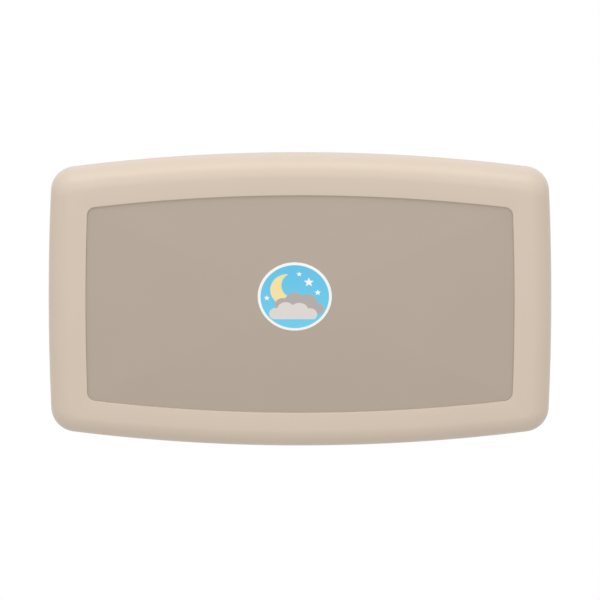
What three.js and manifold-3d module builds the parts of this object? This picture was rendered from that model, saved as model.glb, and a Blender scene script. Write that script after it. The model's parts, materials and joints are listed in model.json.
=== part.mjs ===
// A wall-mounted baby changing station: a moulded bed that folds down on a long hinge from a shallow chassis.
// Millimetres, +Z up, +X to the right of someone facing it, +Y into the wall.
// The origin is the middle of the chassis's back face, on the wall, and the bed is modelled closed.
import * as THREE from 'three';
import { mergeVertices } from 'three/addons/utils/BufferGeometryUtils.js';
import Module from 'manifold-3d';

const wasm = await Module();
wasm.setup();

// Overall form of the bed's outline
const bedWidth = 894;
const bedHeight = 527;
const overallDepth = 102;
const topBow = 31.5;
const sideBow = 7.7;
const cornerRadius = 45;

// Bed shell, front panel and label
const shellWall = 3.5;
const frontFillet = 35;
const rearEdgeRound = 1.2;
const panelInset = 66;
const panelCorner = 15;
const recessDepth = 5.5;
const recessLip = 1;
const recessDraft = 0.5;
const panelThickness = 2.5;
const panelEdgeRound = 0.6;
const labelWidth = 132;
const labelHeight = 124;
const labelThickness = 0.8;
const labelX = -9.3;
const labelZ = 13.5;

// Bed tray, with the basin's sizes taken on the side the child lies on
const trayThickness = 3;
const trayRimDrop = 1.5;
const basinDepth = 35;
const basinInset = 44;
const basinCorner = 66;
const basinRimRound = 4;
const basinDraft = 6;
const basinFloorFillet = 22;

// Chassis and its face
const chassisDepth = 38;
const seamGap = 1.5;
const chassisInset = 8;
const chassisWall = 3.5;
const faceFront = 27;
const faceThickness = 3;

// Wall fixing
const boltSpacingX = 406;
const boltSpacingZ = 200;
const boltHoleRadius = 4.5;
const mountPlateWidth = 60;
const mountPlateHeight = 300;
const mountPlateThickness = 3;
const boltAccessRadius = 11;
const boltCapOverlap = 3;
const boltCapThickness = 2;
const boltCapPlug = 6;

// Long hinge
const hingeRise = 28;
const hingeEndInset = 127;
const knuckleCount = 9;
const knuckleRadius = 7;
const knuckleGap = 0.5;
const hingeRodRadius = 4;
const hingeRodOverhang = 2;
const leafThickness = 2.5;
const leafLift = 0.5;
const leafReach = 33;
const leafScrewReach = 22;
const leafScrewEndInset = 70;
const leafScrewGrip = 6;
const hingePadWidth = 28;
const hingePadLength = 24;
const hingeCutMargin = 15;
const hingeCutRise = 10;

// Gas damper, whose two pivots lie at one distance from the hinge's axis
const damperEdgeInset = 55;
const damperBedStandoff = 8.73;
const damperWallStandoff = 10.28;
const damperBedAngle = THREE.MathUtils.degToRad(61.6);
const damperTubeRadius = 9;
const damperBoreRadius = 7;
const damperEndWall = 2.5;
const damperEyeRadius = 7.5;
const damperEyeHalf = 8.5;
const damperRodRadius = 3;
const damperRodEyeRadius = 6;
const damperRodEyeWidth = 12;
const damperPistonLength = 5;
const damperGlandLength = 4;
const damperGlandReach = 13;
const damperPistonMargin = 1;
const damperPinRadius = 3;
const damperBracketPlate = 2.5;
const damperFootPlate = 1.5;
const damperBedFootLength = 24;
const damperFootRunout = 3.7;
const damperSlotMargin = 3;

// Screws and their bosses
const screwRadius = 1.9;
const screwHeadRadius = 4;
const screwCrownRadius = 3.2;
const screwHeadHeight = 2.5;
const screwSocketRadius = 1.6;
const screwSocketDepth = 1.2;
const screwLength = 14;
const bossRadius = 5;
const fixingInset = 24;
const topScrewX = 200;
const traySideScrewZ = 40;
const faceBottomScrewX = 200;

// Liner bin and its sliding door
const binBoltMargin = 53;
const binHeight = 130;
const binCentreZ = 45;
const binBackGap = 6;
const binWall = 2.5;
const binFlange = 8;
const doorOverlap = 15;
const doorThickness = 2.5;
const doorTravel = 115;
const doorSlotWidth = 150;
const doorSlotHeight = 16;
const doorSlotRise = 30;
const doorGripWidth = 90;
const doorGripHeight = 6;
const doorGripProud = 5;
const doorGripDrop = 14;
const railWidth = 13;
const railLip = 5;
const railLipThickness = 2;
const railStopLength = 10;
const railStopHeight = 4;

// Bag hooks
const hookEdgeInset = 147;
const hookZ = 60;
const hookWidth = 26;
const hookPlateHeight = 60;
const hookPlateThickness = 4;
const hookReach = 32;
const hookBar = 7;
const hookTipRise = 28;
const hookArmDrop = 20;
const hookBend = 10;

// Bumpers
const bumperRadius = 8;
const bumperInset = 28;
const bumperZ = 120;
const bumperRound = 3;

// Safety strap and cam buckle
const strapWidth = 38;
const strapThickness = 1.8;
const strapTail = 62;
const strapClimbStart = 7.8;
const strapClimbEnd = 2.6;
const anchorEdgeInset = 97;
const anchorWidth = 64;
const anchorHeight = 28;
const anchorThickness = 2.5;
const anchorSlotHeight = 4;
const anchorBar = 5;
const buckleZ = 16;
const buckleWidth = 52;
const buckleLength = 48;
const bucklePlate = 2;
const buckleCheek = 4;
const buckleCheekHeight = 14;
const bucklePinRadius = 2;
const bucklePinRise = 10;
const bucklePinOffset = 12;
const leverLength = 28;
const leverThickness = 3;

// Clearances
const seatGap = 0.3;
const runningGap = 0.4;
const forkSeatGap = 0.8;
const cutOvershoot = 5;

// Facets of the round stretches
const topSteps = 12;
const sideSteps = 6;
const cornerSteps = 5;
const filletSteps = 5;
const rimSteps = 3;
const roundFacets = 16;
const screwFacets = 10;
const barCurveSegments = 6;
const ovalFacets = 40;

// Planes and places that follow from the sizes, with the wall at y = 0
const frontY = -overallDepth;
const bedRearY = -(chassisDepth + seamGap);
const filletY = frontY + frontFillet;
const innerFrontY = frontY + shellWall;
const recessFloorY = frontY + recessDepth;
const panelFrontY = recessFloorY - panelThickness;
const trayRimY = bedRearY - trayRimDrop;
const basinFloorY = trayRimY - basinDepth;
const faceFrontY = -faceFront;
const faceBackY = faceFrontY + faceThickness;
const hingeHalf = bedWidth / 2 - hingeEndInset;
const hingeAxis = new THREE.Vector3(0, -(chassisDepth + seamGap / 2), -bedHeight / 2 + hingeRise);
const leafFar = knuckleRadius + leafLift;
const chassisBottomZ = hingeAxis.z + leafFar;
const hingeCutHalf = hingeHalf + hingeCutMargin;
const hingeCutZ = hingeAxis.z + hingeCutRise;
const leafScrewEnd = hingeHalf - leafScrewEndInset;
const leafScrewXs = [-leafScrewEnd, 0, leafScrewEnd];
const damperX = bedWidth / 2 - damperEdgeInset;
const damperArm = (hingeAxis.y - innerFrontY - damperBedStandoff) / Math.sin(damperBedAngle);
const damperChassisAngle = Math.asin((-chassisWall - damperWallStandoff - hingeAxis.y) / damperArm);
const binWidth = boltSpacingX - 2 * binBoltMargin;
const hookX = bedWidth / 2 - hookEdgeInset;
const anchorZ = bedHeight / 2 - anchorEdgeInset;
const damperSlotHalf = damperTubeRadius + damperSlotMargin;

// Bowed outline
const topRadius = bowRadius(bedWidth, topBow);
const sideRadius = bowRadius(bedHeight, sideBow);
const topCentre = new THREE.Vector2(0, bedHeight / 2 - topRadius);
const sideCentre = new THREE.Vector2(bedWidth / 2 - sideRadius, 0);

function bowRadius(chord, rise) {
  return (chord * chord / 4 + rise * rise) / (2 * rise);
}

// Height of the top edge at x, and half-width of the side edge at z, each moved in by an inset
function topEdgeZ(x, inset) {
  return topCentre.y + Math.sqrt((topRadius - inset) ** 2 - x * x);
}

function sideEdgeX(z, inset) {
  return sideCentre.x + Math.sqrt((sideRadius - inset) ** 2 - z * z);
}

// Where a circle about the top edge's centre meets one about the side edge's, at the upper right
function cornerCentre(topReach, sideReach) {
  const between = sideCentre.clone().sub(topCentre);
  const distance = between.length();
  const along = (topReach ** 2 - sideReach ** 2 + distance ** 2) / (2 * distance);
  const across = Math.sqrt(topReach ** 2 - along ** 2);
  between.divideScalar(distance);
  return new THREE.Vector2(
    topCentre.x + along * between.x + across * between.y,
    topCentre.y + along * between.y - across * between.x,
  );
}

function arcPoints(centre, radius, from, to, steps) {
  return Array.from({ length: steps }, (_, step) => {
    const angle = from + (to - from) * step / steps;
    return new THREE.Vector2(centre.x + radius * Math.cos(angle), centre.y + radius * Math.sin(angle));
  });
}

// Points (x, z) of the outline moved in by an inset: four wide arcs joined by four tangent corner arcs
function bowedRing(inset, corner) {
  const top = topRadius - inset;
  const side = sideRadius - inset;
  const centre = cornerCentre(top - corner, side - corner);
  const topAngle = Math.atan2(centre.y - topCentre.y, centre.x - topCentre.x);
  const sideAngle = Math.atan2(centre.y - sideCentre.y, centre.x - sideCentre.x);
  const quarter = [
    ...arcPoints(sideCentre, side, 0, sideAngle, sideSteps / 2),
    ...arcPoints(centre, corner, sideAngle, topAngle, cornerSteps),
    ...arcPoints(topCentre, top, topAngle, Math.PI / 2, topSteps / 2),
  ];
  const topPoint = new THREE.Vector2(0, topCentre.y + top);
  const half = [...quarter, topPoint, ...quarter.slice(1).reverse().map((p) => new THREE.Vector2(-p.x, p.y))];
  return [...half, ...half.map((p) => new THREE.Vector2(-p.x, -p.y))];
}

// The chassis follows the bed's outline, but its lower edge is straight for the hinge
function chassisRing(inset) {
  const ring = bowedRing(chassisInset + inset, cornerRadius - chassisInset - inset);
  return ring.map((p) => new THREE.Vector2(p.x, Math.max(p.y, chassisBottomZ + inset)));
}

// Closed body through rings of equal count, each lying at its own y, with fans over the first and the last
function loft(sections) {
  const count = sections[0].ring.length;
  const positions = sections.flatMap(({ ring, y }) => ring.flatMap((p) => [p.x, y, p.y]));
  const index = [];
  for (let s = 0; s + 1 < sections.length; s += 1) {
    for (let i = 0; i < count; i += 1) {
      const here = s * count + i;
      const next = s * count + (i + 1) % count;
      index.push(here, next, here + count, next, next + count, here + count);
    }
  }
  const firstHub = positions.length / 3;
  const lastHub = firstHub + 1;
  const lastStart = (sections.length - 1) * count;
  positions.push(0, sections[0].y, 0, 0, sections.at(-1).y, 0);
  for (let i = 0; i < count; i += 1) {
    const next = (i + 1) % count;
    index.push(firstHub, next, i);
    index.push(lastHub, lastStart + i, lastStart + next);
  }
  const geometry = new THREE.BufferGeometry();
  geometry.setAttribute('position', new THREE.Float32BufferAttribute(positions, 3));
  geometry.setIndex(index);
  return faceOutward(geometry);
}

function signedVolume(geometry) {
  const position = geometry.attributes.position;
  const index = geometry.index.array;
  const corners = [new THREE.Vector3(), new THREE.Vector3(), new THREE.Vector3()];
  let volume = 0;
  for (let i = 0; i < index.length; i += 3) {
    corners.forEach((corner, k) => corner.fromBufferAttribute(position, index[i + k]));
    volume += corners[0].dot(corners[1].cross(corners[2])) / 6;
  }
  return volume;
}

function faceOutward(geometry) {
  if (signedVolume(geometry) < 0) {
    const index = Array.from(geometry.index.array);
    for (let i = 0; i < index.length; i += 3) {
      [index[i], index[i + 1]] = [index[i + 1], index[i]];
    }
    geometry.setIndex(index);
  }
  return geometry;
}

// Joining and cutting
function solidOf(geometry) {
  const bare = geometry.clone();
  bare.deleteAttribute('normal');
  bare.deleteAttribute('uv');
  const merged = mergeVertices(bare);
  return new wasm.Manifold(new wasm.Mesh({
    numProp: 3,
    vertProperties: new Float32Array(merged.attributes.position.array),
    triVerts: new Uint32Array(merged.index.array),
  }));
}

function geometryOf(solid) {
  const mesh = solid.getMesh();
  const geometry = new THREE.BufferGeometry();
  geometry.setAttribute('position', new THREE.BufferAttribute(new Float32Array(mesh.vertProperties), 3));
  geometry.setIndex(new THREE.BufferAttribute(new Uint32Array(mesh.triVerts), 1));
  return geometry;
}

function join(...geometries) {
  const solids = geometries.map(solidOf);
  return geometryOf(solids.reduce((whole, solid) => whole.add(solid)));
}

function cut(geometry, ...cutters) {
  return geometryOf(cutters.reduce((whole, cutter) => whole.subtract(solidOf(cutter)), solidOf(geometry)));
}

function common(geometry, bound) {
  return geometryOf(solidOf(geometry).intersect(solidOf(bound)));
}

// Plain bodies, given by where they lie
function box(x0, x1, y0, y1, z0, z1) {
  const geometry = new THREE.BoxGeometry(Math.abs(x1 - x0), Math.abs(y1 - y0), Math.abs(z1 - z0));
  return geometry.translate((x0 + x1) / 2, (y0 + y1) / 2, (z0 + z1) / 2);
}

function rodX(radius, x0, x1, y, z, facets = roundFacets) {
  const geometry = new THREE.CylinderGeometry(radius, radius, Math.abs(x1 - x0), facets);
  return geometry.rotateZ(Math.PI / 2).translate((x0 + x1) / 2, y, z);
}

function rodY(radius, y0, y1, x, z, facets = roundFacets) {
  const geometry = new THREE.CylinderGeometry(radius, radius, Math.abs(y1 - y0), facets);
  return geometry.translate(x, (y0 + y1) / 2, z);
}

function rodZ(radius, z0, z1, x, y, facets = screwFacets) {
  const geometry = new THREE.CylinderGeometry(radius, radius, Math.abs(z1 - z0), facets);
  return geometry.rotateX(Math.PI / 2).translate(x, y, (z0 + z1) / 2);
}

// Body of revolution about the Y axis from [radius, y] pairs
function turned(profile, facets) {
  const points = profile.map(([radius, y]) => new THREE.Vector2(radius, y));
  const geometry = new THREE.LatheGeometry(points, facets);
  geometry.deleteAttribute('normal');
  geometry.deleteAttribute('uv');
  return faceOutward(mergeVertices(geometry));
}

// Bar of one (y, z) outline between two x planes
function barX(outline, x0, x1) {
  const settings = { depth: x1 - x0, bevelEnabled: false, curveSegments: barCurveSegments };
  const geometry = new THREE.ExtrudeGeometry(outline, settings);
  const turn = new THREE.Matrix4().set(0, 0, 1, x0, 1, 0, 0, 0, 0, 1, 0, 0, 0, 0, 0, 1);
  return geometry.applyMatrix4(turn);
}

// Plate of one (x, z) outline that lies on the plane y = back and reaches forward
function plateY(outline, back, thickness, curveSegments) {
  const settings = { depth: thickness, bevelEnabled: false, curveSegments };
  const geometry = new THREE.ExtrudeGeometry(outline, settings);
  return geometry.rotateX(Math.PI / 2).translate(0, back, 0);
}

// Materials
function finish(color, roughness, metalness = 0) {
  return new THREE.MeshStandardMaterial({ color, roughness, metalness });
}

const beigePlastic = finish(0xd3c2b2, 0.45);
const taupePlastic = finish(0xb6a89b, 0.6);
const labelFilm = finish(0x60c8eb, 0.35);
const steel = finish(0xa9adb0, 0.35, 1);
const zincSteel = finish(0xc4c6c8, 0.4, 1);
const darkPlastic = finish(0x3c3d3f, 0.5);
const rubber = finish(0x2b2b2b, 0.8);
const webbing = finish(0x34373b, 0.9);

// Assembly groups
const station = new THREE.Group();
const chassis = new THREE.Group();
const bed = new THREE.Group();
station.add(chassis, bed);

function addPiece(group, name, geometry, material, place = new THREE.Vector3()) {
  const mesh = new THREE.Mesh(geometry, material);
  mesh.name = name;
  mesh.position.copy(place);
  group.add(mesh);
}

// Screw along Y with its head's seat at the origin and its shank towards +Y or -Y
function screwGeometry(towards) {
  const head = -towards * screwHeadHeight;
  return turned([
    [0, head + towards * screwSocketDepth],
    [screwSocketRadius, head + towards * screwSocketDepth],
    [screwSocketRadius, head],
    [screwCrownRadius, head],
    [screwHeadRadius, head / 2],
    [screwHeadRadius, 0],
    [screwRadius, 0],
    [screwRadius, towards * (screwLength - screwRadius)],
    [0, towards * screwLength],
  ], screwFacets);
}

const screwHole = (from, to, x, z) => rodY(screwRadius + runningGap, from, to, x, z, screwFacets);

// Places of the screws, bumpers and wall bolts, as (x, z)
const bothSides = (x, z) => [new THREE.Vector2(-x, z), new THREE.Vector2(x, z)];
const trayBottomScrewX = (hingeCutHalf + damperX - damperSlotHalf) / 2;
const trayScrewPlaces = [
  ...bothSides(topScrewX, topEdgeZ(topScrewX, fixingInset)),
  ...bothSides(sideEdgeX(traySideScrewZ, fixingInset), traySideScrewZ),
  ...bothSides(trayBottomScrewX, -topEdgeZ(trayBottomScrewX, fixingInset)),
];
const faceScrewPlaces = [
  ...bothSides(topScrewX, topEdgeZ(topScrewX, fixingInset)),
  ...bothSides(sideEdgeX(0, fixingInset), 0),
  ...bothSides(faceBottomScrewX, chassisBottomZ + fixingInset - chassisInset),
];
const bumperPlaces = [
  ...bothSides(sideEdgeX(bumperZ, bumperInset), bumperZ),
  ...bothSides(sideEdgeX(bumperZ, bumperInset), -bumperZ),
];
const boltPlaces = [
  ...bothSides(boltSpacingX / 2, boltSpacingZ / 2),
  ...bothSides(boltSpacingX / 2, -boltSpacingZ / 2),
];

// Damper: the strut turns at half the bed's rate because both pivots are equally far from the hinge
const damperChassisPivot = new THREE.Vector3(
  damperX,
  hingeAxis.y + damperArm * Math.sin(damperChassisAngle),
  hingeAxis.z + damperArm * Math.cos(damperChassisAngle),
);
const damperBedPivot = new THREE.Vector3(
  damperX,
  hingeAxis.y - damperArm * Math.sin(damperBedAngle),
  hingeAxis.z + damperArm * Math.cos(damperBedAngle),
);
const damperSpan = damperChassisAngle + damperBedAngle;
const damperClosed = 2 * damperArm * Math.sin(damperSpan / 2);
const damperOpen = 2 * damperArm * Math.sin(Math.min(damperSpan / 2 + Math.PI / 4, Math.PI / 2));
const damperTilt = Math.atan2(
  damperChassisPivot.z - damperBedPivot.z,
  damperChassisPivot.y - damperBedPivot.y,
);
const damperGlandEnd = damperClosed - damperGlandReach - damperRodEyeRadius;
const damperTubeEnd = damperGlandEnd - damperGlandLength;
const damperRodLength = damperOpen - damperTubeEnd + damperPistonLength + damperPistonMargin;

// Gap that the strut sweeps through a wall at y: its heights there, bed closed and open, widened by the tube
function strutHeights(pivot, tilts, y) {
  const heights = tilts.map((tilt) => pivot.z + (y - pivot.y) * Math.tan(tilt));
  const reach = damperSlotHalf / Math.cos(Math.max(...tilts.map(Math.abs)));
  return [Math.min(...heights) - reach, Math.max(...heights) + reach];
}
const bedStrutTilts = [damperTilt, damperTilt - Math.PI / 4];
const chassisStrutTilts = [damperTilt, damperTilt + Math.PI / 4];

// Bed shell: inner skin from the recess's back out to the rear edge, then the outer skin back to the recess
function section(inset, corner, y) {
  return { ring: bowedRing(inset, Math.max(corner, shellWall / 2)), y };
}

function filletSections(radius) {
  return Array.from({ length: filletSteps + 1 }, (_, step) => {
    const angle = step / filletSteps * Math.PI / 2;
    const inset = frontFillet - radius * Math.cos(angle);
    return section(inset, cornerRadius - inset, filletY - radius * Math.sin(angle));
  });
}

function bedOuterSolid() {
  return loft([section(0, cornerRadius, bedRearY), ...filletSections(frontFillet)]);
}

function bedShellGeometry() {
  const recessBack = recessFloorY + shellWall;
  const skins = loft([
    section(panelInset - shellWall, panelCorner + shellWall, recessBack),
    section(panelInset - shellWall, panelCorner + shellWall, innerFrontY),
    ...filletSections(frontFillet - shellWall).reverse(),
    section(shellWall, cornerRadius - shellWall, bedRearY),
    section(rearEdgeRound, cornerRadius - rearEdgeRound, bedRearY),
    section(0, cornerRadius, bedRearY - rearEdgeRound),
    ...filletSections(frontFillet),
    section(panelInset - recessLip, panelCorner + recessLip, frontY),
    section(panelInset, panelCorner, frontY + recessLip),
    section(panelInset + recessDraft, panelCorner - recessDraft, recessFloorY),
  ]);
  const bossTop = trayRimY - trayThickness;
  const bosses = trayScrewPlaces.map(({ x, y }) => rodY(bossRadius, frontY, bossTop, x, y));
  const pads = leafScrewXs.map((x) => {
    const middle = hingeAxis.y - leafScrewReach;
    const half = hingePadWidth / 2;
    const length = hingePadLength / 2;
    return box(x - half, x + half, middle - length, middle + length, -bedHeight / 2, hingeAxis.z - leafFar);
  });
  const fittings = common(join(...bosses, ...pads), bedOuterSolid());
  const [lowest] = strutHeights(damperBedPivot, bedStrutTilts, bedRearY);
  const wallZ = -topEdgeZ(damperX, shellWall) + damperSlotMargin;
  const notchDepth = Math.max(wallZ - lowest, 0) / Math.tan(damperSpan / 2 - damperTilt + Math.PI / 4);
  return cut(
    join(skins, fittings),
    ...trayScrewPlaces.map(({ x, y }) => screwHole(bossTop - screwLength, bossTop + cutOvershoot, x, y)),
    ...leafScrewXs.map((x) => leafScrewHole(x, -1)),
    box(
      damperX - damperSlotHalf,
      damperX + damperSlotHalf,
      bedRearY - damperSlotHalf - notchDepth,
      bedRearY + cutOvershoot,
      -bedHeight / 2,
      damperBedPivot.z,
    ),
  );
}

// Basin profile as [inset, y] from the floor up to the rim, for the upper skin or one below it by an offset
function basinSections(offset) {
  const floorInset = basinInset + basinDraft + basinFloorFillet;
  const filletTop = basinFloorY + basinFloorFillet;
  const fillet = Array.from({ length: filletSteps + 1 }, (_, step) => {
    const angle = (1 - step / filletSteps) * Math.PI / 2;
    const radius = basinFloorFillet + offset;
    return [floorInset - radius * Math.cos(angle), filletTop - radius * Math.sin(angle)];
  });
  const roundRadius = basinRimRound - offset;
  const round = Array.from({ length: rimSteps + 1 }, (_, step) => {
    const angle = step / rimSteps * Math.PI / 2;
    const inset = basinInset - basinRimRound + roundRadius * Math.cos(angle);
    return [inset, trayRimY - basinRimRound + roundRadius * Math.sin(angle)];
  });
  return [...fillet, ...round].map(([inset, y]) => section(inset, basinCorner + basinInset - inset, y));
}

function bedTrayGeometry() {
  const edgeInset = shellWall + seatGap;
  const tray = loft([
    ...basinSections(0),
    section(edgeInset, cornerRadius - edgeInset, trayRimY),
    section(edgeInset, cornerRadius - edgeInset, trayRimY - trayThickness),
    ...basinSections(trayThickness).reverse(),
  ]);
  const rimBack = trayRimY + cutOvershoot;
  const rimFront = trayRimY - trayThickness - cutOvershoot;
  const [, slotTop] = strutHeights(damperBedPivot, bedStrutTilts, trayRimY);
  return cut(
    tray,
    box(-hingeCutHalf, hingeCutHalf, rimFront, rimBack, -bedHeight / 2, hingeCutZ),
    box(damperX - damperSlotHalf, damperX + damperSlotHalf, basinFloorY, rimBack, -bedHeight / 2, slotTop),
    ...trayScrewPlaces.map(({ x, y }) => screwHole(rimFront, rimBack, x, y)),
  );
}

function frontPanelGeometry() {
  const inset = panelInset + recessDraft + runningGap;
  const corner = panelCorner - recessDraft - runningGap;
  return loft([
    section(inset, corner, recessFloorY),
    section(inset, corner, panelFrontY + panelEdgeRound),
    section(inset + panelEdgeRound, corner - panelEdgeRound, panelFrontY),
  ]);
}

function labelGeometry() {
  const oval = new THREE.Shape();
  oval.absellipse(labelX, labelZ, labelWidth / 2, labelHeight / 2, 0, 2 * Math.PI);
  return plateY(oval, panelFrontY, labelThickness, ovalFacets);
}

// Chassis tray with bosses for its face, bolt holes to the wall and a notch for the damper
function chassisShellGeometry() {
  const tray = loft([
    { ring: chassisRing(chassisWall), y: -chassisWall },
    { ring: chassisRing(chassisWall), y: -chassisDepth },
    { ring: chassisRing(0), y: -chassisDepth },
    { ring: chassisRing(0), y: 0 },
  ]);
  const bosses = faceScrewPlaces.map(({ x, y }) => rodY(bossRadius, faceBackY, -chassisWall / 2, x, y));
  return cut(
    join(tray, ...bosses),
    ...faceScrewPlaces.map(({ x, y }) => screwHole(faceBackY - cutOvershoot, faceBackY + screwLength, x, y)),
    ...boltPlaces.map(({ x, y }) => rodY(boltHoleRadius, -chassisWall - cutOvershoot, cutOvershoot, x, y)),
    ...leafScrewXs.map((x) => leafScrewHole(x, 1)),
    box(
      damperX - damperSlotHalf,
      damperX + damperSlotHalf,
      -chassisDepth - cutOvershoot,
      faceBackY,
      chassisBottomZ - cutOvershoot,
      chassisBottomZ + chassisWall + cutOvershoot,
    ),
  );
}

function chassisFaceGeometry() {
  const ring = chassisRing(chassisWall + runningGap);
  const face = loft([{ ring, y: faceBackY }, { ring, y: faceFrontY }]);
  const behind = faceBackY + cutOvershoot;
  const before = faceFrontY - cutOvershoot;
  const [, slotTop] = strutHeights(damperChassisPivot, chassisStrutTilts, faceFrontY);
  const windowX = binWidth / 2 - binWall;
  const windowZ = binHeight / 2 - binWall;
  return cut(
    face,
    ...faceScrewPlaces.map(({ x, y }) => screwHole(before, behind, x, y)),
    ...boltPlaces.map(({ x, y }) => rodY(boltAccessRadius, before, behind, x, y)),
    box(-windowX, windowX, before, behind, binCentreZ - windowZ, binCentreZ + windowZ),
    box(damperX - damperSlotHalf, damperX + damperSlotHalf, before, behind, -bedHeight / 2, slotTop),
  );
}

function mountPlateGeometry(x) {
  const front = -chassisWall - mountPlateThickness;
  const halfX = mountPlateWidth / 2;
  const halfZ = mountPlateHeight / 2;
  const plate = box(x - halfX, x + halfX, front, -chassisWall, -halfZ, halfZ);
  const holes = [-1, 1].map((side) => {
    return rodY(boltHoleRadius, front - cutOvershoot, cutOvershoot, x, side * boltSpacingZ / 2);
  });
  return cut(plate, ...holes);
}

function boltCapGeometry() {
  const plugRadius = boltAccessRadius - runningGap;
  const rimRadius = boltAccessRadius + boltCapOverlap;
  return turned([
    [0, boltCapPlug],
    [plugRadius, boltCapPlug],
    [plugRadius, 0],
    [rimRadius, 0],
    [rimRadius, -boltCapThickness / 2],
    [plugRadius, -boltCapThickness],
    [0, -boltCapThickness],
  ], roundFacets);
}

// Liner bin behind the face, its door and the rails that guide it
function linerPocketGeometry() {
  const back = -chassisWall - binBackGap;
  const halfX = binWidth / 2;
  const bottom = binCentreZ - binHeight / 2;
  const top = binCentreZ + binHeight / 2;
  const body = box(-halfX, halfX, faceBackY, back, bottom, top);
  const flange = box(
    -halfX - binFlange,
    halfX + binFlange,
    faceBackY,
    faceBackY + binWall,
    bottom - binFlange,
    top + binFlange,
  );
  const hollow = box(
    -halfX + binWall,
    halfX - binWall,
    faceBackY - cutOvershoot,
    back - binWall,
    bottom + binWall,
    top - binWall,
  );
  return cut(join(body, flange), hollow);
}

const doorHalf = binWidth / 2 + doorOverlap;
const doorBottom = binCentreZ - binHeight / 2 - doorOverlap;
const doorTop = binCentreZ + binHeight / 2 + doorOverlap;
const doorBackY = faceFrontY - seatGap;
const doorFrontY = doorBackY - doorThickness;

function linerDoorGeometry() {
  const plate = box(-doorHalf, doorHalf, doorFrontY, doorBackY, doorBottom, doorTop);
  const gripTop = doorTop - doorGripDrop;
  const grip = box(
    -doorGripWidth / 2,
    doorGripWidth / 2,
    doorFrontY - doorGripProud,
    doorBackY,
    gripTop - doorGripHeight,
    gripTop,
  );
  const slotBottom = doorBottom + doorSlotRise;
  const slot = box(
    -doorSlotWidth / 2,
    doorSlotWidth / 2,
    doorFrontY - cutOvershoot,
    doorBackY + cutOvershoot,
    slotBottom,
    slotBottom + doorSlotHeight,
  );
  return cut(join(plate, grip), slot);
}

function linerRailGeometry(side) {
  const inner = doorHalf + runningGap;
  const lipBack = doorFrontY - seatGap;
  const lipFront = lipBack - railLipThickness;
  const bottom = doorBottom - seatGap - railStopHeight;
  const top = doorTop + doorTravel;
  const web = box(side * inner, side * (inner + railWidth), faceFrontY, lipFront, bottom, top);
  const lip = box(side * (inner - railLip), side * (inner + railWidth), lipBack, lipFront, bottom, top);
  const stop = box(
    side * (inner - railStopLength),
    side * (inner + railWidth),
    faceFrontY,
    lipFront,
    bottom,
    bottom + railStopHeight,
  );
  return join(web, lip, stop);
}

// Bag hook: a wall plate with an arm that turns up at its end, drawn as (y, z) from the face
function bagHookGeometry() {
  const half = hookPlateHeight / 2;
  const tip = -hookReach;
  const armTop = -hookArmDrop + hookBar;
  const outline = new THREE.Shape();
  outline.moveTo(0, -half);
  outline.lineTo(0, half);
  outline.lineTo(-hookPlateThickness, half);
  outline.lineTo(-hookPlateThickness, armTop);
  outline.lineTo(tip + hookBar + hookBend / 2, armTop);
  outline.quadraticCurveTo(tip + hookBar, armTop, tip + hookBar, armTop + hookBend / 2);
  outline.lineTo(tip + hookBar, -hookArmDrop + hookTipRise);
  outline.lineTo(tip, -hookArmDrop + hookTipRise);
  outline.lineTo(tip, -hookArmDrop + hookBend);
  outline.quadraticCurveTo(tip, -hookArmDrop, tip + hookBend, -hookArmDrop);
  outline.lineTo(-hookPlateThickness, -hookArmDrop);
  outline.lineTo(-hookPlateThickness, -half);
  outline.closePath();
  return barX(outline, -hookWidth / 2, hookWidth / 2);
}

function bumperGeometry() {
  const tip = trayRimY + seatGap - faceFrontY;
  return turned([
    [0, 0],
    [bumperRadius, 0],
    [bumperRadius, tip + bumperRound],
    [bumperRadius - bumperRound, tip],
    [0, tip],
  ], roundFacets);
}

// Long hinge, drawn about its own axis: the fixed leaf lies above and behind it, the bed's below and in front
const knuckleLength = 2 * hingeHalf / knuckleCount;
const knuckleStarts = Array.from({ length: knuckleCount }, (_, i) => -hingeHalf + i * knuckleLength);

function knuckles(parity, radius, gap) {
  const starts = knuckleStarts.filter((_, i) => i % 2 === parity);
  return starts.map((start) => rodX(radius, start + gap, start + knuckleLength - gap, 0, 0));
}

function hingeLeafGeometry(side) {
  const ownParity = side > 0 ? 0 : 1;
  const near = side * (leafFar - leafThickness);
  const leaf = box(-hingeHalf, hingeHalf, 0, side * leafReach, near, side * leafFar);
  const clear = knuckles(1 - ownParity, leafFar + knuckleGap, -knuckleGap);
  const bore = rodX(hingeRodRadius + runningGap, -hingeHalf - cutOvershoot, hingeHalf + cutOvershoot, 0, 0);
  const holes = leafScrewXs.map((x) => {
    const radius = screwRadius + runningGap;
    return rodZ(radius, side * leafFar * 2, 0, x, side * leafScrewReach);
  });
  return cut(join(cut(leaf, ...clear), ...knuckles(ownParity, knuckleRadius, knuckleGap)), bore, ...holes);
}

// Hole under a leaf's screw, in the chassis for side 1 and in the bed's pads for side -1
function leafScrewHole(x, side) {
  const start = hingeAxis.z + side * (leafFar - leafThickness);
  const end = hingeAxis.z + side * (leafFar + leafScrewGrip + runningGap);
  return rodZ(screwRadius + runningGap, start, end, x, hingeAxis.y + side * leafScrewReach);
}

function leafScrewGeometry(side) {
  const seat = leafFar - leafThickness;
  const screw = turned([
    [0, -screwHeadHeight + screwSocketDepth],
    [screwSocketRadius, -screwHeadHeight + screwSocketDepth],
    [screwSocketRadius, -screwHeadHeight],
    [screwHeadRadius, -screwHeadHeight / 2],
    [screwHeadRadius, 0],
    [screwRadius, 0],
    [screwRadius, leafThickness + leafScrewGrip - screwRadius],
    [0, leafThickness + leafScrewGrip],
  ], screwFacets);
  return screw.rotateX(side * Math.PI / 2).translate(0, side * leafScrewReach, side * seat);
}

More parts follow.
